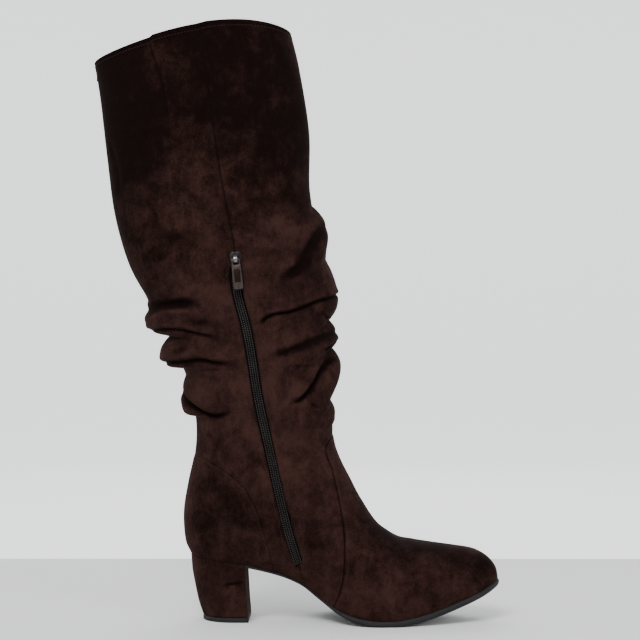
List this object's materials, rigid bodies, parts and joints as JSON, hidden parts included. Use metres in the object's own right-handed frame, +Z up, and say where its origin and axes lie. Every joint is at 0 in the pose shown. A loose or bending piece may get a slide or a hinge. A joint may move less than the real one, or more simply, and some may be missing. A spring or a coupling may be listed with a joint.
{
  "type": "slouch boot",
  "caption": "Knee-high slouch boot for the left foot, with a slumped faux suede shaft, covered block heel and inner side zip.",
  "frame": {"origin": "middle of the heel lift's floor face", "axes": "+X from heel to toe along the floor, +Y to the outer (lateral) side, +Z up"},
  "size_m": [0.331, 0.0974, 0.4789],
  "materials": {
    "suede": "dark chocolate faux suede with a short mottled nap",
    "lining": "matt woven lining and sock",
    "sole": "dark grey matt rubber",
    "tape": "black woven tape",
    "teeth": "dark grey nylon coil",
    "slider_metal": "polished gunmetal",
    "pull_metal": "brownish grey plated metal"
  },
  "bodies": {
    "boot": {"upper": "suede", "insole": "lining", "outsole": "sole", "heel": "suede", "heel_lift": "sole", "zip_tape": "tape", "zip_chain": "teeth", "zip_slider": "slider_metal"},
    "pull": {"zip_pull": "pull_metal"}
  },
  "joints": [
    {"name": "zip_pull_swing", "type": "hinge", "parent": "boot", "child": "pull", "pos_m": [0.00992, -0.04685, 0.28961], "axis": [-0.9971, -0.0539, -0.0534], "range_deg": [0, 165]}
  ]
}
